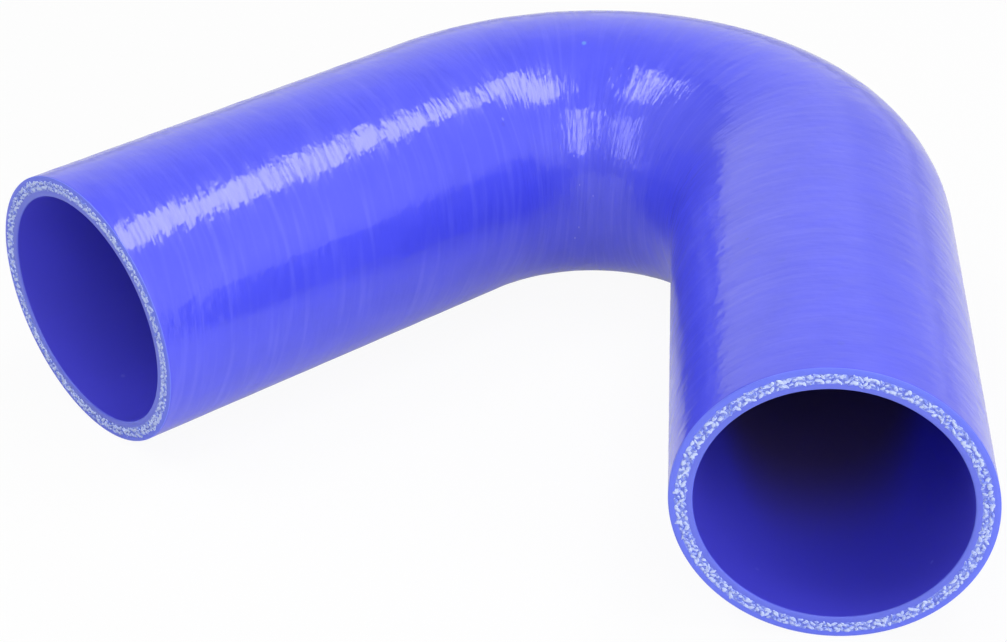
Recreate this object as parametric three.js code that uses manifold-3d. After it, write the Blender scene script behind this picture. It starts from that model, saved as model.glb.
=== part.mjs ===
// Silicone elbow hose: two equal straight legs joined by one wide bend, moulded in one piece and lying on its
// side. Both mouths are cut through the ply wall, where the ends of the fabric's yarns stand a little proud.
// Millimetres, +Z up. The origin is under the middle of the hose, on the surface it lies on.

import * as THREE from "three";
import { mergeVertices } from "three/addons/utils/BufferGeometryUtils.js";
import Module from "manifold-3d";

// Sizes of the hose
const BORE = 51; // inside diameter
const BEND_ANGLE = 131; // degrees that the centreline turns
const BEND_INSIDE = 19; // radius of the skin round the inside of the bend
const LEG = 94.5; // straight centreline from the bend to each mouth
const CUT_SKEW = 4.5; // degrees that each mouth is cut off square, its inner side being the shorter
const TRIM = 5; // least length that is cut off each leg as it comes from the mould

// Layers of the wall, from the bore outwards
const LINER = 1.2; // plain silicone
const PLY = 1.05; // one wrap of fabric, with the silicone in it
const PLIES = 2; // wraps of fabric
const COVER = 1.2; // plain silicone

// Yarn ends, in one ring for each ply
const YARN_PITCH = 3.3; // from one yarn end to the next in a ring
const YARN_LENGTH = 1.9; // of a cut yarn end, corner to corner
const YARN_WIDTH = 0.8; // of a cut yarn end, corner to corner
const YARN_SLANT = 28; // degrees between a yarn end's length and its ring
const YARN_PROUD = 0.2; // how far a yarn end stands out of the cut

// Fineness of the facets
const SECTION_SIDES = 48;
const BEND_STEPS = 22;

const SILICONE_BLUE = "#4650e6";

const radians = THREE.MathUtils.degToRad;
const outerRadius = BORE / 2 + LINER + PLIES * PLY + COVER;
const bendRadius = BEND_INSIDE + outerRadius;

const wasm = await Module();
wasm.setup();

// A closed geometry as a solid that can be joined and cut.
function solidOf(geometry) {
  const bare = geometry.clone();
  bare.deleteAttribute("normal");
  bare.deleteAttribute("uv");
  const merged = mergeVertices(bare, 1e-4);
  return new wasm.Manifold(
    new wasm.Mesh({
      numProp: 3,
      vertProperties: new Float32Array(merged.attributes.position.array),
      triVerts: new Uint32Array(merged.index.array),
    }),
  );
}

// A solid as a geometry again, with flat faces.
function geometryOf(solid) {
  const mesh = solid.getMesh();
  const indexed = new THREE.BufferGeometry();
  indexed.setAttribute("position", new THREE.BufferAttribute(mesh.vertProperties, 3));
  indexed.setIndex(new THREE.BufferAttribute(mesh.triVerts, 1));
  const geometry = indexed.toNonIndexed();
  geometry.computeVertexNormals();
  return geometry;
}

// The centreline about the bend's centre: a straight leg, the bend and a straight leg. It is stepped by station,
// one step for each leg and the rest round the bend, so that no facet crosses from a leg into the bend.
class ElbowLine extends THREE.Curve {
  constructor(bendAngle, bendRadius, leg, bendSteps) {
    super();
    Object.assign(this, { bendAngle, bendRadius, leg, bendSteps });
  }

  // How far round the bend a place is, in radians, and how far out along a leg beyond it.
  place(t) {
    const station = t * (this.bendSteps + 2) - 1;
    const onBend = THREE.MathUtils.clamp(station, 0, this.bendSteps);
    const turned = (onBend / this.bendSteps) * this.bendAngle;
    return { heading: this.bendAngle / 2 - turned, beyond: (station - onBend) * this.leg };
  }

  getPoint(t, target = new THREE.Vector3()) {
    const { heading, beyond } = this.place(t);
    target.set(-Math.sin(heading), Math.cos(heading), 0).multiplyScalar(this.bendRadius);
    return target.addScaledVector(this.getTangent(t), beyond);
  }

  getTangent(t, target = new THREE.Vector3()) {
    const { heading } = this.place(t);
    return target.set(Math.cos(heading), Math.sin(heading), 0);
  }

  getPointAt(u, target) {
    return this.getPoint(u, target);
  }

  getTangentAt(u, target) {
    return this.getTangent(u, target);
  }
}

// The wall's ring swept along the centreline, with each leg left longer than it will be.
function mouldedTube(overlength) {
  const ring = new THREE.Shape().absarc(0, 0, outerRadius, 0, 2 * Math.PI);
  ring.holes.push(new THREE.Path().absarc(0, 0, BORE / 2, 0, 2 * Math.PI));
  const line = new ElbowLine(radians(BEND_ANGLE), bendRadius, LEG + overlength, BEND_STEPS);
  return solidOf(
    new THREE.ExtrudeGeometry(ring, {
      extrudePath: line,
      steps: BEND_STEPS + 2,
      curveSegments: SECTION_SIDES / 2,
    }),
  );
}

// A mouth's own frame: its middle on the cut, X across towards the inner side, Z out of the hose.
function mouthFrame(end) {
  const line = new ElbowLine(radians(BEND_ANGLE), bendRadius, LEG, BEND_STEPS);
  const outwards = line.getTangent(end).multiplyScalar(end === 0 ? -1 : 1);
  const inner = new THREE.Vector3(end === 0 ? 1 : -1, 0, 0).projectOnPlane(outwards).normalize();
  const across = new THREE.Vector3().crossVectors(outwards, inner);
  const square = new THREE.Matrix4().makeBasis(inner, across, outwards).setPosition(line.getPoint(end));
  return square.multiply(new THREE.Matrix4().makeRotationY(radians(CUT_SKEW)));
}

// What the knife takes off a leg beyond its mouth.
function offcut(frame, overlength) {
  const block = new THREE.BoxGeometry(3 * outerRadius, 3 * outerRadius, 2 * overlength);
  return solidOf(block.translate(0, 0, overlength).applyMatrix4(frame));
}

// The cut yarn ends of one ply: lozenges that lean across their ring, rooted in the wall.
function yarnEnds(frame, ply) {
  const pitchRadius = BORE / 2 + LINER + PLY * (ply + 0.5);
  const count = Math.round((2 * Math.PI * pitchRadius) / YARN_PITCH);
  const lozenge = new THREE.Shape([
    new THREE.Vector2(0, -YARN_LENGTH / 2),
    new THREE.Vector2(YARN_WIDTH / 2, 0),
    new THREE.Vector2(0, YARN_LENGTH / 2),
    new THREE.Vector2(-YARN_WIDTH / 2, 0),
  ]);
  const ends = [];
  for (let i = 0; i < count; i += 1) {
    const end = new THREE.ExtrudeGeometry(lozenge, { depth: 2 * YARN_PROUD, bevelEnabled: false });
    end.rotateZ(radians(YARN_SLANT)).translate(pitchRadius, 0, -YARN_PROUD);
    end.rotateZ(((i + ply / PLIES) / count) * 2 * Math.PI).applyMatrix4(frame);
    ends.push(solidOf(end));
  }
  return ends;
}

// The whole hose: the tube as moulded, both legs cut to length, and the yarn ends in each cut.
function elbowHose() {
  const overlength = 2 * outerRadius * Math.tan(radians(CUT_SKEW)) + TRIM;
  let hose = mouldedTube(overlength);
  for (const end of [0, 1]) {
    const frame = mouthFrame(end);
    hose = hose.subtract(offcut(frame, overlength));
    for (let ply = 0; ply < PLIES; ply += 1) {
      for (const yarn of yarnEnds(frame, ply)) hose = hose.add(yarn);
    }
  }
  const geometry = geometryOf(hose);
  geometry.computeBoundingBox();
  const middle = geometry.boundingBox.getCenter(new THREE.Vector3());
  return geometry.translate(-middle.x, -middle.y, -geometry.boundingBox.min.z);
}

const silicone = new THREE.MeshStandardMaterial({ color: SILICONE_BLUE, roughness: 0.2, metalness: 0 });
const hose = new THREE.Mesh(elbowHose(), silicone);
hose.name = "elbow_hose";

const part = new THREE.Group();
part.add(hose);

export default part;
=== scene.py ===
"""A blue silicone elbow hose that lies on its side: two straight legs, one wide bend and two open mouths.

The hose is one moulded wall. Its skin keeps the fine lines of the tape it was cured in, and both mouths are
cut through the wall, where the ends of the fabric's yarns stand out of the cut. Lengths are in metres and
angles in degrees, unless a name says otherwise.
"""

from __future__ import annotations

import logging
import math
from dataclasses import dataclass, field, replace
from enum import Enum, IntEnum

import bpy
import numpy as np
from mathutils import Matrix, Vector


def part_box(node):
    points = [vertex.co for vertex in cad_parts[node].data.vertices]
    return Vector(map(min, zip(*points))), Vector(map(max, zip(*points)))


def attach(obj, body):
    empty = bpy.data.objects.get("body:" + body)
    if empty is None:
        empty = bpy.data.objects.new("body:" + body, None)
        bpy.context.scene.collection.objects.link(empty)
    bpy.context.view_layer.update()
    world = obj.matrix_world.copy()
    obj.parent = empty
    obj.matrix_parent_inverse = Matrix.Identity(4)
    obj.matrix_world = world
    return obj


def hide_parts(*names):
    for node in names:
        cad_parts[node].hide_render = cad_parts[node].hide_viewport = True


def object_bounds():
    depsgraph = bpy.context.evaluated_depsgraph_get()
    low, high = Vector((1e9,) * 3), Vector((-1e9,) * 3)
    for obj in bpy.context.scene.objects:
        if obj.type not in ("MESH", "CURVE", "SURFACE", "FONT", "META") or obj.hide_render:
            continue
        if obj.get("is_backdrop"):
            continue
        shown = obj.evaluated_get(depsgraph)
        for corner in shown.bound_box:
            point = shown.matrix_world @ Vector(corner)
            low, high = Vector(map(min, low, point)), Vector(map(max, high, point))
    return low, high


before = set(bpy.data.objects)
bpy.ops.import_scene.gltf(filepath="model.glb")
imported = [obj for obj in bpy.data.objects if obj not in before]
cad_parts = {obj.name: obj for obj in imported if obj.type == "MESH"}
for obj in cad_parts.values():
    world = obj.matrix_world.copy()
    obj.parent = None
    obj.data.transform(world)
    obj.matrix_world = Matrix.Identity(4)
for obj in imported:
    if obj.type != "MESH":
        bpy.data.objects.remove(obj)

MM = 0.001
HOSE_NODE = "elbow_hose"
HOSE_BODY = "root"
UNROLLED = "unrolled"  # each point as if the hose were straight, in millimetres: across, up, along
BAKE_MAP = "OFBake"
PHOTO_WIDTH = 1007
SENSOR_WIDTH_MM = 36.0
ROUNDING = 1e-9
WHITE = (1.0, 1.0, 1.0, 1.0)

log = logging.getLogger("elbow_hose")

Colour = tuple[float, float, float]
Place = tuple[float, float, float]


class Signal:
    """A socket of a shader graph that takes part in arithmetic."""

    def __init__(self, graph: ShaderGraph, socket: bpy.types.NodeSocket) -> None:
        """Keeps the graph and the socket."""
        self.graph = graph
        self.socket = socket

    def __add__(self, other: Value) -> Signal:
        """The sum, by a Math node."""
        return self.graph.maths("ADD", self, other)

    __radd__ = __add__

    def __mul__(self, other: Value) -> Signal:
        """The product, by a Math node."""
        return self.graph.maths("MULTIPLY", self, other)

    __rmul__ = __mul__

    def __sub__(self, other: Value) -> Signal:
        """The difference, by a Math node."""
        return self.graph.maths("SUBTRACT", self, other)

    def __rsub__(self, other: Value) -> Signal:
        """A number less this socket."""
        return self.graph.maths("SUBTRACT", other, self)


Value = Signal | float | tuple[float, ...]


class ShaderGraph:
    """The nodes of one material or of the world."""

    MIX_FACTOR, MIX_FIRST, MIX_SECOND = 0, 6, 7  # the inputs of a Mix node of colours
    MIX_RESULT = 2

    def __init__(self, tree: bpy.types.NodeTree) -> None:
        """Keeps the tree and empties it."""
        self.tree = tree
        tree.nodes.clear()

    def node(
        self,
        kind: str,
        settings: dict[str, object] | None = None,
        inputs: dict[str | int, Value] | None = None,
        output: str | int = 0,
    ) -> Signal:
        """Adds a node, sets it, and then fills or links its sockets.

        Args:
            kind: The node's type without its ShaderNode prefix.
            settings: Properties of the node.
            inputs: Values or signals for its sockets, by name or index.
            output: The socket that the signal returned stands for.

        Returns:
            The signal of the chosen output, or of the node's first input if it has no output.
        """
        made = self.tree.nodes.new("ShaderNode" + kind)
        for name, value in (settings or {}).items():
            setattr(made, name, value)
        for name, value in (inputs or {}).items():
            if isinstance(value, Signal):
                self.tree.links.new(value.socket, made.inputs[name])
            else:
                made.inputs[name].default_value = value
        return Signal(self, made.outputs[output] if made.outputs else made.inputs[0])

    def maths(self, operation: str, *values: Value) -> Signal:
        """A Math node on one or more values."""
        return self.node("Math", {"operation": operation}, dict(enumerate(values)))

    def vector(self, operation: str, a: Value, b: Value, output: str = "Vector") -> Signal:
        """A Vector Math node on two vectors."""
        return self.node("VectorMath", {"operation": operation}, {0: a, 1: b}, output)

    def mix(self, factor: Value, first: Value, second: Value) -> Signal:
        """A colour between two colours, the second where the factor is 1.

        Args:
            factor: How much of the second colour shows.
            first: Colour or signal at 0.
            second: Colour or signal at 1.

        Returns:
            The mixed colour.
        """
        colours = [c if isinstance(c, Signal) else (*c, 1.0) for c in (first, second)]
        sockets = {self.MIX_FACTOR: factor, self.MIX_FIRST: colours[0], self.MIX_SECOND: colours[1]}
        return self.node("Mix", {"data_type": "RGBA", "clamp_factor": True}, sockets, self.MIX_RESULT)

    def ramp(self, value: Value, low: float, high: float) -> Signal:
        """A smooth step from 0 where the value is low to 1 where it is high."""
        sockets = {"Value": value, "From Min": low, "From Max": high}
        return self.node("MapRange", {"interpolation_type": "SMOOTHSTEP"}, sockets, "Result")

    def noise(self, place: Value, detail: float = 2.0, roughness: float = 0.5) -> Signal:
        """Noise between about -0.5 and 0.5 at a place whose features are about 1 across."""
        sockets = {"Vector": place, "Scale": 1.0, "Detail": detail, "Roughness": roughness}
        return self.node("TexNoise", {}, sockets, "Fac") - 0.5

    def spread(self, place: Value, per_mm: float) -> Signal:
        """A place in millimetres, scaled so that noise on it has so many features to a millimetre."""
        return self.vector("MULTIPLY", place, (per_mm, per_mm, per_mm))

    def bump(self, height_mm: Value) -> Signal:
        """The normal of a surface that has this fine relief in millimetres."""
        return self.node("Bump", {}, {"Strength": 1.0, "Distance": MM, "Height": height_mm}, "Normal")


class Zone(IntEnum):
    """The parts of the wall that have a finish of their own."""

    SKIN = 0
    COVER_CUT = 1
    FABRIC_CUT = 2
    LINER_CUT = 3
    BORE = 4


class End(Enum):
    """The two ends of the hose."""

    LEFT = "left"
    RIGHT = "right"


@dataclass(frozen=True)
class Blemish:
    """A small mark, whose station, distance out from the centreline and own radius are in millimetres."""

    station: float
    around: float
    out: float
    radius: float
    colour: Colour
    strength: float

    CORE = 0.3  # the share of its radius that shows it fully

    @property
    def spot(self) -> Place:
        """Its middle as an unrolled place."""
        angle = math.radians(self.around)
        return self.out * math.cos(angle), self.out * math.sin(angle), self.station


@dataclass(frozen=True)
class HoseSizes:
    """The driving sizes of the hose, as the solid has them."""

    bore: float = 51 * MM
    liner: float = 1.2 * MM
    ply: float = 1.05 * MM
    plies: int = 2
    cover: float = 1.2 * MM
    bend_angle: float = 131.0
    bend_inside: float = 19 * MM
    leg: float = 94.5 * MM
    cut_skew: float = 4.5

    @property
    def bore_radius(self) -> float:
        """Radius of the bore."""
        return self.bore / 2

    @property
    def outer_radius(self) -> float:
        """Radius of the skin."""
        return self.bore_radius + self.liner + self.plies * self.ply + self.cover

    @property
    def bend_radius(self) -> float:
        """Radius of the centreline in the bend."""
        return self.bend_inside + self.outer_radius

    @property
    def length(self) -> float:
        """Length of the centreline from mouth to mouth."""
        return 2 * self.leg + math.radians(self.bend_angle) * self.bend_radius


@dataclass(frozen=True)
class Silicone:
    """Moulded or cut silicone.

    Lines holds the width, the height and the length in millimetres of each kind of line round the hose, and
    grain is the height of the unevenness that has no direction. Streaks is how much rougher the sparse dull
    lines are. The sparse pale lines are painted sheen, and their weight is how much paler they make the
    colour.
    Haze is the weight of the soft gloss over the sharp one. Mottling is the size in millimetres of the
    patches of tint, and deep the colour of the painted shade far inside the bore.
    """

    name: str
    colour: Colour
    roughness: float
    reflection: float = 0.5
    haze: float = 0.0
    lines: tuple[tuple[float, float, float], ...] = ()
    streaks: float = 0.0
    painted_sheen: float = 0.0
    grain: float = 0.0
    tint: Colour = (0.065, 0.075, 0.85)
    tint_share: float = 0.0
    mottling: float = 11.0
    deep: Colour | None = None
    blemishes: tuple[Blemish, ...] = ()
    sizes: HoseSizes = HoseSizes()

    INWARDS = (-1.0, 0.0, 0.0)  # towards the inner side of the bend, at an unrolled place
    UP = (0.0, 1.0, 0.0)
    ALONG = (0.0, 0.0, 1.0)
    LEAN = (0.0, -0.15, 1.0)  # how the lines lean: what each millimetre across and up adds to one along
    STREAK_MM = 0.9  # about how wide a dull line is
    STREAK_STRETCH_MM = 9.0
    STREAK_DETAIL = 0.5
    STREAK_LEVELS = (0.0, 0.15)  # the noise from which a dull line begins and is full
    # The sparse pale lines are painted sheen: a paler colour that stands in for streaks of hazy gloss.
    SHEEN_LINE_MM = 1.5  # about how wide a pale line of painted sheen is
    SHEEN_STRETCH_MM = 20.0
    SHEEN_DETAIL = 1.0
    SHEEN_LEVELS = (-0.05, 0.3)
    SHEEN_SIDE_MM = (-10.0, 22.0)  # how far towards the inner side of the bend the pale lines of painted sheen come in
    SHEEN_LEAST = 0.3  # the share of them on the outer side
    PAINTED_SHEEN_COLOUR = (0.22, 0.24, 0.92)
    TINT_DETAIL = 3.0
    TINT_LEVELS = (-0.15, 0.15)
    PAINTED_SHADE_SIDE_MM = (-25.5, -8.0)  # the heights over which the painted shade comes to lag behind: it begins sooner along the bottom of the bore
    PAINTED_SHADE_LAG_MM = 40.0  # how much farther in the painted shade begins on the sides and top
    PAINTED_SHADE_DEPTHS_MM = (16.0, 54.0)  # the depths between which the painted shade takes over
    GRAINS_PER_MM = 2.2
    GRAIN_NOISE = (3.0, 0.6)  # its detail and roughness
    HAZE_ROUGHNESS = 0.5

    def material(self) -> bpy.types.Material:
        """Makes the material.

        Returns:
            The new material.
        """
        made = bpy.data.materials.new(self.name)
        made.use_nodes = True
        graph = ShaderGraph(made.node_tree)
        place = graph.node("Attribute", {"attribute_name": UNROLLED}, {}, "Vector")
        roughness: Value = self.roughness
        if self.streaks:
            streak = self._line_noise(
                graph, place, self.STREAK_MM, self.STREAK_STRETCH_MM, self.STREAK_DETAIL
            )
            roughness = graph.ramp(streak, *self.STREAK_LEVELS) * self.streaks + roughness
        sockets: dict[str | int, Value] = {
            "Base Color": self._colour(graph, place),
            "Roughness": roughness,
            "Specular IOR Level": self.reflection,
            "Coat Weight": self.haze,
            "Coat Roughness": self.HAZE_ROUGHNESS,
        }
        height = self._height(graph, place)
        if height is not None:
            sockets["Normal"] = graph.bump(height)
        shader = graph.node("BsdfPrincipled", {}, sockets)
        graph.node("OutputMaterial", {}, {"Surface": shader})
        return made

    def _line_noise(
        self, graph: ShaderGraph, place: Signal, width_mm: float, stretch_mm: float, detail: float = 2.0
    ) -> Signal:
        """Noise drawn out into lines round the hose.

        Args:
            graph: The material's graph.
            place: The unrolled place in millimetres.
            width_mm: About how wide a line is.
            stretch_mm: About how long a line is.
            detail: How many finer octaves the noise has.

        Returns:
            The noise.
        """
        along = graph.vector("DOT_PRODUCT", place, self.LEAN, "Value") * (1 / width_mm)
        section = graph.vector("MULTIPLY", place, (1 / stretch_mm, 1 / stretch_mm, 0.0))
        return graph.noise(graph.vector("ADD", section, graph.node("CombineXYZ", {}, {"Z": along})), detail)

    def _depth(self, graph: ShaderGraph, place: Signal) -> Signal:
        """The distance in millimetres along the hose to the nearer mouth."""
        station = graph.vector("DOT_PRODUCT", place, self.ALONG, "Value")
        return graph.maths("MINIMUM", station, self.sizes.length / MM - station)

    def _height(self, graph: ShaderGraph, place: Signal) -> Signal | None:
        """The fine relief of the surface in millimetres, or None where it is smooth.

        Args:
            graph: The material's graph.
            place: The unrolled place in millimetres.

        Returns:
            The height's signal.
        """
        height = None
        for width_mm, height_mm, stretch_mm in self.lines:
            ridges = self._line_noise(graph, place, width_mm, stretch_mm) * height_mm
            height = ridges if height is None else height + ridges
        if self.grain:
            rough = graph.noise(graph.spread(place, self.GRAINS_PER_MM), *self.GRAIN_NOISE) * self.grain
            height = rough if height is None else height + rough
        return height

    def _colour(self, graph: ShaderGraph, place: Signal) -> Value:
        """The colour over the surface.

        Args:
            graph: The material's graph.
            place: The unrolled place in millimetres.

        Returns:
            The colour's signal.
        """
        clouds = graph.noise(graph.spread(place, 1 / self.mottling), self.TINT_DETAIL)
        base = graph.mix(graph.ramp(clouds, *self.TINT_LEVELS) * self.tint_share, self.colour, self.tint)
        # Painted sheen: sparse pale lines, fullest on the inner side of the bend, lighten the colour.
        if self.painted_sheen:
            sheen_noise = self._line_noise(graph, place, self.SHEEN_LINE_MM, self.SHEEN_STRETCH_MM, self.SHEEN_DETAIL)
            inwards = graph.vector("DOT_PRODUCT", place, self.INWARDS, "Value")
            share = graph.ramp(inwards, *self.SHEEN_SIDE_MM) * (1 - self.SHEEN_LEAST) + self.SHEEN_LEAST
            painted_sheen_share = graph.ramp(sheen_noise, *self.SHEEN_LEVELS) * share * self.painted_sheen
            base = graph.mix(painted_sheen_share, base, self.PAINTED_SHEEN_COLOUR)
        # Painted shade: the bore's colour darkens towards the deep colour with depth from the nearer mouth,
        # sooner along its bottom.
        if self.deep is not None:
            height = graph.vector("DOT_PRODUCT", place, self.UP, "Value")
            depth = self._depth(graph, place) - graph.ramp(height, *self.PAINTED_SHADE_SIDE_MM) * self.PAINTED_SHADE_LAG_MM
            base = graph.mix(graph.ramp(depth, *self.PAINTED_SHADE_DEPTHS_MM), base, self.deep)
        for mark in self.blemishes:
            away = graph.vector("DISTANCE", place, mark.spot, "Value")
            mask = (1 - graph.ramp(away, mark.CORE * mark.radius, mark.radius)) * mark.strength
            base = graph.mix(mask, base, mark.colour)
        return base


@dataclass(frozen=True)
class Yarn:
    """Bare white yarn soaked with blue silicone."""

    name: str = "cut_yarn"
    pale: Colour = (0.58, 0.67, 0.98)
    soaked: Colour = (0.17, 0.24, 0.84)
    roughness: float = 0.5
    fibre_height_mm: float = 0.12

    PATCHES_PER_MM = 0.9
    PATCH_NOISE = (3.0, 0.6)  # its detail and roughness
    FIBRES_PER_MM = 6.0
    FIBRE_NOISE = (2.0, 0.6)
    FRAY = 0.3  # how much the fibres break up the edges of the patches
    DRY_LEVELS = (0.36, 0.55)  # the noise from which the yarn begins to be pale and is fully so

    def material(self) -> bpy.types.Material:
        """Makes the material.

        Returns:
            The new material.
        """
        made = bpy.data.materials.new(self.name)
        made.use_nodes = True
        graph = ShaderGraph(made.node_tree)
        place = graph.node("Attribute", {"attribute_name": UNROLLED}, {}, "Vector")
        patches = graph.noise(graph.spread(place, self.PATCHES_PER_MM), *self.PATCH_NOISE) + 0.5
        fibres = graph.noise(graph.spread(place, self.FIBRES_PER_MM), *self.FIBRE_NOISE)
        dry = graph.ramp(patches + fibres * self.FRAY, *self.DRY_LEVELS)
        sockets: dict[str | int, Value] = {
            "Base Color": graph.mix(dry, self.soaked, self.pale),
            "Roughness": self.roughness,
            "Normal": graph.bump(fibres * self.fibre_height_mm),
        }
        shader = graph.node("BsdfPrincipled", {}, sockets)
        graph.node("OutputMaterial", {}, {"Surface": shader})
        return made


@dataclass(frozen=True)
class Relief:
    """The unevenness of the moulded surface, as a sum of waves that close round the hose."""

    seed: int
    waves: int
    shortest: float
    longest: float
    slope: float
    most_turns: int

    def height(self, station: np.ndarray, around: np.ndarray) -> np.ndarray:
        """Height over the true surface.

        Args:
            station: Distance along the centreline.
            around: Angle round the hose in radians.

        Returns:
            The height at each point.
        """
        draw = np.random.default_rng(self.seed)
        total = np.zeros_like(station)
        for _ in range(self.waves):
            wavelength = self.shortest * (self.longest / self.shortest) ** draw.random()
            turns = draw.integers(-self.most_turns, self.most_turns + 1)
            phase = draw.random() * 2 * math.pi
            amplitude = self.slope * wavelength / (2 * math.pi) / math.sqrt(self.waves)
            total += amplitude * np.sin(2 * math.pi * station / wavelength + turns * around + phase)
        return total


@dataclass(frozen=True)
class Tuft:
    """One cut yarn end: a low dome on a slanted lozenge."""

    shift: float
    offset: float
    length: float
    width: float
    slant: float
    proud: float

    SIDES = 10
    TRAITS = 5  # how many of its numbers vary by chance
    SHIFT_SPREAD = 0.05
    OFFSET_SPREAD = 0.09 * MM
    LENGTH_SPREAD = 0.15
    WIDTH_SPREAD = 0.13
    SLANT_SPREAD = 16
    LEAST = 0.6  # the smallest share of its own length and width
    WOBBLE = 0.12
    POINTEDNESS = 1.15  # 1 gives an ellipse
    LEVELS = ((1.0, -0.9), (1.0, 0.25), (0.78, 0.8), (0.4, 1.0), (0.02, 1.05))  # shares of outline and height

    def varied(self, shift: float, offset: float, length: float, width: float, slant: float) -> Tuft:
        """The same tuft with chance differences.

        Args:
            shift: Change of its place along the ring, as a number of standard deviations like the others.
            offset: Change of its place across the ring.
            length: Change of its length.
            width: Change of its width.
            slant: Change of its slant.

        Returns:
            The changed tuft.
        """
        return replace(
            self,
            shift=self.shift + self.SHIFT_SPREAD * shift,
            offset=self.offset + self.OFFSET_SPREAD * offset,
            length=self.length * max(self.LEAST, 1 + self.LENGTH_SPREAD * length),
            width=self.width * max(self.LEAST, 1 + self.WIDTH_SPREAD * width),
            slant=self.slant + self.SLANT_SPREAD * slant,
        )

    def shape(self, draw: np.random.Generator) -> tuple[np.ndarray, np.ndarray, np.ndarray, np.ndarray]:
        """The dome's points and faces.

        Args:
            draw: The source of its small differences.

        Returns:
            Each point's place along its ring, its place across it and how far it stands out of the cut, and
            the faces as four corners each.
        """
        angle = np.arange(self.SIDES) * 2 * math.pi / self.SIDES
        wobble = 1 + self.WOBBLE * draw.normal(0, 1, self.SIDES)
        x, y = (
            np.sign(wave) * np.abs(wave) ** self.POINTEDNESS * size / 2 * wobble
            for wave, size in ((np.cos(angle), self.length), (np.sin(angle), self.width))
        )
        slant = math.radians(self.slant)
        x, y = x * math.cos(slant) - y * math.sin(slant), x * math.sin(slant) + y * math.cos(slant)
        across = np.concatenate([x * share for share, _ in self.LEVELS])
        inwards = np.concatenate([y * share for share, _ in self.LEVELS])
        proud = np.concatenate([np.full(self.SIDES, level * self.proud) for _, level in self.LEVELS])
        quads = []
        for level in range(len(self.LEVELS) - 1):
            for side in range(self.SIDES):
                after = (side + 1) % self.SIDES
                low, high = level * self.SIDES, (level + 1) * self.SIDES
                quads.append((low + side, low + after, high + after, high + side))
        return across, inwards, proud, np.array(quads)


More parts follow.
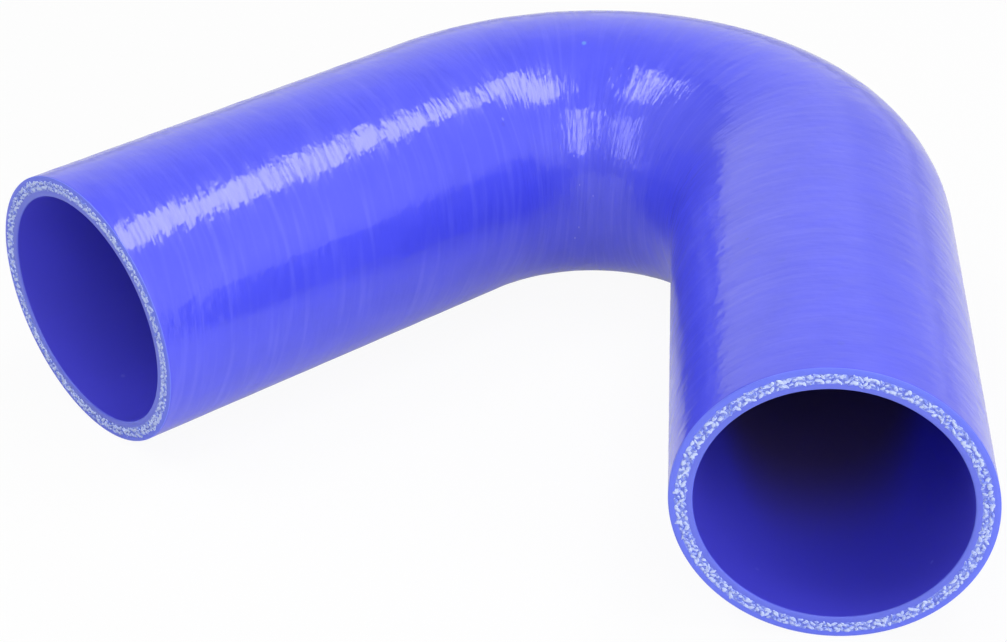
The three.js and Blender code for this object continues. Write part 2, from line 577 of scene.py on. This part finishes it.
@dataclass
class ElbowHose:
    """The hose: its wall, and the yarn ends in both of its cuts."""

    box: tuple[Vector, Vector]
    sizes: HoseSizes = field(default_factory=HoseSizes)
    sides: int = 160
    skin_step: float = 0.9 * MM
    bore_step: float = 3.0 * MM
    edge: float = 0.22 * MM
    bore_edge: float = 0.28 * MM
    crown: float = 0.02 * MM
    fabric_depth: float = 0.06 * MM
    sharp_angle: float = 38.0
    relief: Relief = Relief(seed=7, waves=40, shortest=3 * MM, longest=16 * MM, slope=0.012, most_turns=5)
    relief_fade: float = 4 * MM
    yarn_pitch: float = 3.3 * MM
    yarn_seeds: dict[End, int] = field(default_factory=lambda: {End.LEFT: 11, End.RIGHT: 23})
    ply_shift: dict[End, float] = field(default_factory=lambda: {End.LEFT: 0.25 * MM, End.RIGHT: 0.0})
    skin_marks: tuple[Blemish, ...] = (  # station, around, out, radius, colour, strength
        Blemish(129.2, 105.8, 30.0, 0.85, (0.10, 0.26, 0.78), 0.9),
        Blemish(95.1, 136.9, 30.0, 0.6, (0.15, 0.17, 0.95), 0.9),
        Blemish(94.4, 139.0, 30.0, 0.9, (0.04, 0.04, 0.62), 0.5),
        Blemish(124.2, 158.4, 30.0, 0.4, (0.30, 0.30, 0.90), 0.8),
        Blemish(126.6, 171.0, 30.0, 0.35, (0.28, 0.28, 0.90), 0.8),
        Blemish(134.0, 176.1, 30.0, 0.35, (0.28, 0.28, 0.90), 0.8),
        Blemish(125.4, -168.0, 30.0, 0.4, (0.28, 0.28, 0.85), 0.8),
        Blemish(123.2, -161.7, 30.0, 0.5, (0.28, 0.28, 0.85), 0.8),
        Blemish(248.7, 119.4, 30.0, 0.6, (0.05, 0.06, 0.60), 0.6),
        Blemish(261.4, 106.3, 30.0, 1.2, (0.05, 0.07, 0.70), 0.4),
        Blemish(292.7, 88.0, 30.0, 1.0, (0.05, 0.07, 0.66), 0.4),
    )
    bore_marks: tuple[Blemish, ...] = (
        Blemish(295.1, -41.8, 25.5, 0.6, (0.14, 0.14, 0.75), 0.8),
        Blemish(291.2, -121.5, 25.5, 0.6, (0.10, 0.10, 0.70), 0.8),
        Blemish(10.0, -72.8, 25.5, 0.7, (0.12, 0.12, 0.70), 0.8),
    )

    CORNER = 0.3  # where the middle of the outer corner lies, as a share of its edge both ways
    BORE_CORNER = ((0.5, 0.13), (0.13, 0.5))  # the same for two places of the bore's corner: out and deep
    FABRIC_STEPS = 6
    CLEAR_EDGES = 3  # how many edges there are from a cut to the first even ring
    BORE_RELIEF = -0.6  # the bore's share of the relief, which goes the other way there
    MAP_EDGE, MAP_SPAN = 0.005, 0.99  # where the map begins on its first axis, and how far it goes
    SKIN_STRIP, BORE_STRIP = (0.005, 0.49), (0.505, 0.42)  # where each begins on the second, and its width
    RIGHT_CUT_STRIP, LEFT_CUT_STRIP = (0.935, 0.025), (0.97, 0.025)

    def line_at(self, station: np.ndarray) -> tuple[np.ndarray, np.ndarray, np.ndarray]:
        """The centreline, and its directions away from the bend's centre and along.

        Args:
            station: Distances along the centreline from the left mouth. They may lie beyond a mouth.

        Returns:
            Points, directions outwards and directions along, one row for each station.
        """
        sizes = self.sizes
        bend_length = sizes.length - 2 * sizes.leg
        on_bend = np.clip(station - sizes.leg, 0, bend_length)
        heading = math.radians(sizes.bend_angle) / 2 - on_bend / sizes.bend_radius
        zero = np.zeros_like(heading)
        outwards = np.stack([-np.sin(heading), np.cos(heading), zero], axis=-1)
        along = np.stack([np.cos(heading), np.sin(heading), zero], axis=-1)
        low, high = self.box
        centre = np.array([0, high.y - sizes.outer_radius - sizes.bend_radius, (low.z + high.z) / 2])
        beyond = (station - sizes.leg - on_bend)[..., None]
        return centre + outwards * sizes.bend_radius + along * beyond, outwards, along

    def place(
        self, station: np.ndarray, radius: np.ndarray, around: np.ndarray, proud: np.ndarray
    ) -> np.ndarray:
        """True stations of points of the wall, whose rings lean more and more from the bend to each cut.

        Args:
            station: Station of the ring that a point belongs to, as if both cuts were square.
            radius: Distance from the centreline.
            around: Angle round the hose in radians, 0 on the outer side of the bend.
            proud: How far the point stands out of its cut.

        Returns:
            The true station of each point.
        """
        sizes = self.sizes
        left = np.clip(1 - station / sizes.leg, 0, 1)
        right = np.clip(1 - (sizes.length - station) / sizes.leg, 0, 1)
        lean = radius * np.cos(around) * math.tan(math.radians(sizes.cut_skew))
        return station + (right - left) * lean + np.sign(right - left) * proud

    def points(self, station: np.ndarray, radius: np.ndarray, around: np.ndarray) -> np.ndarray:
        """Points of the wall from their true stations, radii and angles.

        Args:
            station: True distance along the centreline.
            radius: Distance from the centreline.
            around: Angle round the hose in radians.

        Returns:
            One row for each point.
        """
        line, outwards, _ = self.line_at(station)
        up = np.array([0.0, 0.0, 1.0])
        spoke = outwards * np.cos(around)[..., None] + up * np.sin(around)[..., None]
        return line + spoke * radius[..., None]

    @staticmethod
    def unrolled(station: np.ndarray, radius: np.ndarray, around: np.ndarray) -> np.ndarray:
        """The same points as if the hose were straight, in millimetres."""
        return np.stack([radius * np.cos(around), radius * np.sin(around), station], axis=-1) / MM

    def cut_profile(self) -> list[tuple[float, float, Zone]]:
        """The rings of a cut from its outer corner to the bore.

        Returns:
            Each ring's radius, how far it stands out of the cut, and the zone that follows it.
        """
        sizes = self.sizes
        outer, edge = sizes.outer_radius, self.edge
        inner, bore_edge = sizes.bore_radius, self.bore_edge
        band_outer, band_inner = outer - sizes.cover, inner + sizes.liner
        rings = [
            (outer, -edge, Zone.COVER_CUT),
            (outer - self.CORNER * edge, -self.CORNER * edge, Zone.COVER_CUT),
            (outer - edge, 0.0, Zone.COVER_CUT),
            ((outer - edge + band_outer) / 2, self.crown, Zone.COVER_CUT),
            (band_outer, 0.0, Zone.FABRIC_CUT),
        ]
        for i in range(1, self.FABRIC_STEPS):
            radius = band_outer + (band_inner - band_outer) * i / self.FABRIC_STEPS
            rings.append((radius, -self.fabric_depth, Zone.FABRIC_CUT))
        rings += [
            (band_inner, 0.0, Zone.LINER_CUT),
            ((band_inner + inner + bore_edge) / 2, self.crown, Zone.LINER_CUT),
            (inner + bore_edge, 0.0, Zone.LINER_CUT),
        ]
        for out, deep in self.BORE_CORNER:
            rings.append((inner + out * bore_edge, -deep * bore_edge, Zone.LINER_CUT))
        rings.append((inner, -bore_edge, Zone.BORE))
        return rings

    def rings(self) -> list[tuple[float, float, float, Zone]]:
        """The closed loop of rings: the skin, the right cut, the bore and the left cut.

        Returns:
            Each ring's station, radius, how far it stands out of its cut, and the zone that follows it.
        """
        sizes = self.sizes
        length = sizes.length
        cut = self.cut_profile()
        margin = self.CLEAR_EDGES * self.edge
        skin = np.linspace(margin, length - margin, round(length / self.skin_step))
        bore = np.linspace(length - margin, margin, round(length / self.bore_step))
        loop = [(float(s), sizes.outer_radius, 0.0, Zone.SKIN) for s in skin]
        loop += [(length, *ring) for ring in cut]
        loop += [(float(s), sizes.bore_radius, 0.0, Zone.BORE) for s in bore]
        backwards = list(reversed(cut))
        zones = [ring[2] for ring in backwards[1:]] + [Zone.SKIN]
        loop += [(0.0, radius, proud, zone) for (radius, proud, _), zone in zip(backwards, zones)]
        return loop

    def build_wall(self) -> bpy.types.Object:
        """Makes the wall as one closed mesh.

        Returns:
            The wall's object.
        """
        loop = self.rings()
        count = len(loop)
        station, radius, proud = (np.array([ring[i] for ring in loop])[:, None] for i in range(3))
        zone = np.array([int(ring[3]) for ring in loop])
        around = np.linspace(0, 2 * math.pi, self.sides, endpoint=False)[None, :]
        station, radius, proud, around = np.broadcast_arrays(station, radius, proud, around)
        true_station = self.place(station, radius, around, proud)
        inset = np.minimum(station, self.sizes.length - station)
        fade = np.clip(inset / self.relief_fade, 0, 1)
        share = np.where(radius >= self.sizes.outer_radius - ROUNDING, 1.0, self.BORE_RELIEF)
        uneven = radius + fade * share * self.relief.height(true_station, around)
        spots = self.points(true_station, uneven, around).reshape(-1, 3)
        straight = self.unrolled(true_station, uneven, around).reshape(-1, 3)
        ring_index = np.arange(count)[:, None]
        side_index = np.arange(self.sides)[None, :]
        next_ring, next_side = (ring_index + 1) % count, (side_index + 1) % self.sides
        corners = [
            ring_index * self.sides + side_index,
            ring_index * self.sides + next_side,
            next_ring * self.sides + next_side,
            next_ring * self.sides + side_index,
        ]
        faces = np.stack(np.broadcast_arrays(*corners), axis=-1).reshape(-1, 4)
        wall = mesh_object("hose_wall", spots, faces, straight)
        wall.data.polygons.foreach_set("material_index", np.repeat(zone, self.sides))
        self._lay_out(wall, zone, true_station, radius)
        wall.data.set_sharp_from_angle(angle=math.radians(self.sharp_angle))
        return wall

    def _lay_out(
        self, wall: bpy.types.Object, zone: np.ndarray, station: np.ndarray, radius: np.ndarray
    ) -> None:
        """Gives the wall a map of its unrolled surfaces: the skin, the bore and a strip for each cut.

        Args:
            wall: The wall's object.
            zone: The zone that follows each ring.
            station: The true station of each point, one row for each ring.
            radius: The radius of each point.
        """
        sizes = self.sizes
        count = len(zone)
        ring = np.arange(count)
        after = (ring + 1) % count
        side = np.arange(self.sides)
        turn = np.stack([side, side + 1, side + 1, side], axis=-1) / self.sides
        own = np.stack([ring, ring, after, after], axis=-1)
        along = (station[own, :].mean(axis=-1) / sizes.length).clip(0, 1)
        depth = (sizes.outer_radius - radius[own, 0]) / (sizes.outer_radius - sizes.bore_radius)
        u = np.empty((count, self.sides, 4))
        v = np.empty_like(u)
        skin, bore = zone == Zone.SKIN, zone == Zone.BORE
        for rows, (low, share) in ((skin, self.SKIN_STRIP), (bore, self.BORE_STRIP)):
            u[rows] = self.MAP_EDGE + self.MAP_SPAN * along[rows][:, None, :]
            v[rows] = low + share * turn[None]
        cut = ~(skin | bore)
        right = station[:, 0] > sizes.length / 2
        for rows, (low, share) in ((cut & right, self.RIGHT_CUT_STRIP), (cut & ~right, self.LEFT_CUT_STRIP)):
            u[rows] = self.MAP_EDGE + self.MAP_SPAN * turn[None]
            v[rows] = low + share * depth[rows][:, None, :]
        layer = wall.data.uv_layers.new(name=BAKE_MAP)
        layer.uv.foreach_set("vector", np.stack([u, v], axis=-1).astype(np.float32).ravel())

    def build_yarn_ends(self, end: End) -> bpy.types.Object:
        """Makes the yarn ends that stand out of one cut, in one ring for each ply.

        Args:
            end: The end of the hose that was cut.

        Returns:
            The yarn ends as one object.
        """
        sizes = self.sizes
        draw = np.random.default_rng(self.yarn_seeds[end])
        station = 0.0 if end is End.LEFT else sizes.length
        spots: list[np.ndarray] = []
        faces: list[np.ndarray] = []
        straight: list[np.ndarray] = []
        base = 0
        for ply in range(sizes.plies):
            ring = sizes.bore_radius + sizes.liner + sizes.ply * (ply + 0.5) + self.ply_shift[end]
            count = round(2 * math.pi * ring / self.yarn_pitch)
            for i in range(count):
                for tuft in self._tufts(draw):
                    around = (i + ply / sizes.plies + tuft.shift) * 2 * math.pi / count
                    across, inwards, proud, quads = tuft.shape(draw)
                    radius = ring + tuft.offset + inwards
                    angle = around + across / ring
                    true_station = self.place(np.full_like(radius, station), radius, angle, proud)
                    spots.append(self.points(true_station, radius, angle))
                    straight.append(self.unrolled(true_station, radius, angle))
                    faces.append(quads + base)
                    base += len(radius)
        return mesh_object(
            f"{end.value}_yarn_ends", np.concatenate(spots), np.concatenate(faces), np.concatenate(straight)
        )

    @staticmethod
    def _tufts(draw: np.random.Generator) -> list[Tuft]:
        """The tufts of one repeat of the cloth: a warp end, and the weft that crosses between two of them.

        Args:
            draw: The source of the small differences.

        Returns:
            The tufts.
        """
        bunches = (
            Tuft(shift=0.0, offset=0.14 * MM, length=1.45 * MM, width=0.72 * MM, slant=24, proud=0.24 * MM),
            Tuft(shift=0.27, offset=-0.18 * MM, length=1.15 * MM, width=0.6 * MM, slant=-34, proud=0.2 * MM),
            Tuft(shift=0.52, offset=0.16 * MM, length=1.1 * MM, width=0.62 * MM, slant=-28, proud=0.2 * MM),
            Tuft(shift=0.78, offset=-0.1 * MM, length=1.2 * MM, width=0.58 * MM, slant=42, proud=0.18 * MM),
        )
        differences = draw.normal(0, 1, (len(bunches), Tuft.TRAITS))
        return [tuft.varied(*row) for tuft, row in zip(bunches, differences)]

    def dress(self, wall: bpy.types.Object, yarn_ends: list[bpy.types.Object]) -> None:
        """Gives the wall and the yarn ends their finishes.

        Args:
            wall: The wall's object.
            yarn_ends: The yarn ends' objects.
        """
        finishes = {
            Zone.SKIN: Silicone(
                "wrapped_skin",
                colour=(0.050, 0.060, 0.78),
                roughness=0.088,
                reflection=0.6,
                haze=0.9,
                lines=((0.6, 0.026, 4.5), (1.5, 0.105, 6.0), (4.5, 0.17, 4.3)),
                streaks=0.17,
                # sparse pale lines of painted sheen
                painted_sheen=0.14,
                tint_share=0.5,
                blemishes=self.skin_marks,
            ),
            Zone.COVER_CUT: Silicone("cut_cover", colour=(0.13, 0.175, 0.85), roughness=0.45, grain=0.02),
            Zone.FABRIC_CUT: Silicone(
                "cut_fabric",
                colour=(0.13, 0.17, 0.72),
                roughness=0.55,
                grain=0.10,
                tint=(0.32, 0.40, 0.86),
                tint_share=0.8,
                mottling=0.8,
            ),
            Zone.LINER_CUT: Silicone("cut_liner", colour=(0.125, 0.16, 0.76), roughness=0.4, grain=0.02),
            Zone.BORE: Silicone(
                "bore_liner",
                colour=(0.070, 0.066, 0.67),
                roughness=0.4,
                grain=0.01,
                # painted shade far inside the bore
                deep=(0.075, 0.055, 0.17),
                blemishes=self.bore_marks,
            ),
        }
        for zone in Zone:
            wall.data.materials.append(finishes[zone].material())
        yarn = Yarn().material()
        for piece in yarn_ends:
            piece.data.materials.append(yarn)


def mesh_object(name: str, spots: np.ndarray, faces: np.ndarray, straight: np.ndarray) -> bpy.types.Object:
    """Makes a smooth mesh object with its unrolled places.

    Args:
        name: The object's name.
        spots: The points.
        faces: The faces as four corners each.
        straight: Each point's unrolled place in millimetres.

    Returns:
        The object, in the scene.
    """
    mesh = bpy.data.meshes.new(name)
    mesh.from_pydata(spots.tolist(), [], faces.tolist())
    places = mesh.attributes.new(UNROLLED, "FLOAT_VECTOR", "POINT")
    places.data.foreach_set("vector", straight.astype(np.float32).ravel())
    mesh.update()
    mesh.shade_smooth()
    made = bpy.data.objects.new(name, mesh)
    bpy.context.scene.collection.objects.link(made)
    return made


@dataclass(frozen=True)
class SoftBox:
    """A flat soft light that faces the hose. It can be left out of reflections, or show in them alone."""

    name: str
    place: Place
    width: float
    length: float
    radiance: float
    long_side: Place = (0.0, 0.0, 1.0)
    aim: Place = (0.0, 0.0, 30 * MM)
    reflected: bool = True
    lights: bool = True

    def hang(self) -> bpy.types.Object:
        """Puts the light in the scene.

        Returns:
            The light's object.
        """
        light = bpy.data.lights.new(self.name, "AREA")
        light.shape = "RECTANGLE"
        light.size = self.width
        light.size_y = self.length
        light.energy = self.radiance * math.pi * self.width * self.length
        made = bpy.data.objects.new(self.name, light)
        place = Vector(self.place)
        away = (place - Vector(self.aim)).normalized()
        across = Vector(self.long_side).cross(away).normalized()
        turned = Matrix((across, away.cross(across), away)).transposed()
        made.matrix_world = Matrix.LocRotScale(place, turned.to_quaternion(), None)
        made.visible_glossy = self.reflected
        made.visible_diffuse = self.lights
        bpy.context.scene.collection.objects.link(made)
        return made


@dataclass(frozen=True)
class DarkPart:
    """A dark part of the room round a direction, which comes in between two cosines of the angle to it."""

    towards: Vector
    edge: tuple[float, float]
    strength: float


@dataclass
class Studio:
    """The plain pale floor, the soft light and the camera."""

    floor_z: float
    floor_half: float = 3.0
    camera_azimuth: float = 29.660
    camera_elevation: float = 31.736
    camera_roll: float = -2.981
    camera_distance: float = 516.57 * MM
    camera_target: Vector = field(default_factory=lambda: Vector((-1.37, -35.03, 30.0)) * MM)
    focal_length_px: float = 2513.9
    clip_start: float = 0.01
    seen_strength: float = 1.0
    fill_strength: float = 0.12
    floor_glow: float = 0.94
    floor_glow_in_gloss: float = 0.29
    floor_paleness: float = 0.79

    @staticmethod
    def boxes() -> list[SoftBox]:
        """The soft boxes.

        Returns:
            The boxes, not yet hung.
        """
        back = (-0.14, 0.99, 0.0)
        return [
            SoftBox("key_box", (0.245, 0.11, 0.8), width=0.25, length=0.56, radiance=5.9, long_side=back),
            SoftBox("left_box", (-0.362, -0.122, 0.8), width=0.16, length=0.44, radiance=6.3, long_side=back),
            SoftBox(
                "front_left_box", (-0.4, -0.959, 0.6), width=0.31, length=0.78, radiance=3.4, lights=False
            ),
            SoftBox("front_right_box", (0.395, -0.849, 0.755), width=0.3, length=0.8, radiance=5.4),
            SoftBox("left_fill", (-0.75, -0.45, 0.8), width=1.0, length=1.0, radiance=1.25, reflected=False),
            SoftBox("side_fill", (1.03, -0.35, 0.4), width=1.0, length=0.7, radiance=3.3, reflected=False),
        ]

    @staticmethod
    def dark_parts() -> list[DarkPart]:
        """The dark parts of the room.

        Returns:
            The ceiling, the side in front and a dull corner behind.
        """
        return [
            DarkPart(towards=Vector((0.0, 0.0, 1.0)), edge=(0.55, 0.95), strength=0.3),
            DarkPart(towards=Vector((-0.574, -0.819, 0.15)), edge=(0.15, 0.19), strength=0.28),
            DarkPart(towards=Vector((0.05, 0.96, 0.26)), edge=(0.96, 0.99), strength=0.7),
        ]

    def lay_floor(self) -> bpy.types.Object:
        """Lays the floor.

        Returns:
            The floor's object.
        """
        half = self.floor_half
        mesh = bpy.data.meshes.new("floor")
        corners = [(-half, -half, 0), (half, -half, 0), (half, half, 0), (-half, half, 0)]
        mesh.from_pydata(corners, [], [(0, 1, 2, 3)])
        floor = bpy.data.objects.new("floor", mesh)
        floor.location.z = self.floor_z
        bpy.context.scene.collection.objects.link(floor)
        paper = bpy.data.materials.new("floor_paper")
        paper.use_nodes = True
        graph = ShaderGraph(paper.node_tree)
        pale = self.floor_paleness
        diffuse = graph.node("BsdfDiffuse", {}, {"Color": (pale, pale, pale, 1.0)})
        glow = graph.node("Emission", {}, {"Color": WHITE, "Strength": 1.0})
        camera, glossy, through = self._sight(graph)
        share = (camera + through) * self.floor_glow + glossy * self.floor_glow_in_gloss
        surface = graph.node("MixShader", {}, {0: share, 1: diffuse, 2: glow})
        graph.node("OutputMaterial", {}, {"Surface": surface})
        mesh.materials.append(paper)
        return floor

    @staticmethod
    def _sight(graph: ShaderGraph) -> tuple[Signal, Signal, Signal]:
        """Signals that are 1 for rays that the camera, gloss and glass send."""
        camera, glossy, through = (
            graph.node("LightPath", {}, {}, name)
            for name in ("Is Camera Ray", "Is Glossy Ray", "Is Transmission Ray")
        )
        return camera, glossy, through

    def light_world(self) -> None:
        """Makes the room, which is white but for its dark parts and lights the hose less than it shows."""
        world = bpy.data.worlds.new("studio_world")
        world.use_nodes = True
        graph = ShaderGraph(world.node_tree)
        camera, glossy, through = self._sight(graph)
        towards = graph.node("TexCoord", {}, {}, "Generated")
        room: Value = 1.0
        for part in self.dark_parts():
            facing = graph.vector("DOT_PRODUCT", towards, tuple(part.towards.normalized()), "Value")
            room = (1 - graph.ramp(facing, *part.edge) * (1 - part.strength)) * room
        seen = graph.maths("MAXIMUM", camera, through) + glossy * room
        strength = seen * (self.seen_strength - self.fill_strength) + self.fill_strength
        sky = graph.node("Background", {}, {"Color": WHITE, "Strength": strength})
        graph.node("OutputWorld", {}, {"Surface": sky})
        bpy.context.scene.world = world

    def place_camera(self) -> bpy.types.Object:
        """Places the camera.

        Returns:
            The camera's object.
        """
        azimuth, elevation = math.radians(self.camera_azimuth), math.radians(self.camera_elevation)
        flat = math.cos(elevation)
        back = Vector((math.sin(azimuth) * flat, -math.cos(azimuth) * flat, math.sin(elevation)))
        data = bpy.data.cameras.new("camera")
        data.sensor_width = SENSOR_WIDTH_MM
        data.lens = self.focal_length_px * SENSOR_WIDTH_MM / PHOTO_WIDTH
        data.clip_start = self.clip_start
        camera = bpy.data.objects.new("camera", data)
        level = back.to_track_quat("Z", "Y").to_matrix()
        turned = level @ Matrix.Rotation(math.radians(self.camera_roll), 3, "Z")
        camera.matrix_world = Matrix.LocRotScale(
            self.camera_target + back * self.camera_distance, turned.to_quaternion(), None
        )
        bpy.context.scene.collection.objects.link(camera)
        bpy.context.scene.camera = camera
        return camera

    def set_up(self) -> None:
        """Sets up the floor, the light and the camera."""
        self.lay_floor()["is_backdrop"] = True
        self.light_world()
        for box in self.boxes():
            box.hang()
        self.place_camera()
        bpy.context.scene.view_settings.view_transform = "Standard"


def main() -> None:
    """Builds the hose and its studio."""
    logging.basicConfig(level=logging.INFO, format="%(name)s: %(message)s")
    cad_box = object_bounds()
    hose = ElbowHose(box=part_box(HOSE_NODE))
    wall = hose.build_wall()
    yarn_ends = [hose.build_yarn_ends(end) for end in End]
    hose.dress(wall, yarn_ends)
    for piece in (wall, *yarn_ends):
        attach(piece, HOSE_BODY)
        log.info("%s: %d faces", piece.name, len(piece.data.polygons))
    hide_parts(HOSE_NODE)
    Studio(floor_z=cad_box[0].z).set_up()


if __name__ == "__main__":
    main()
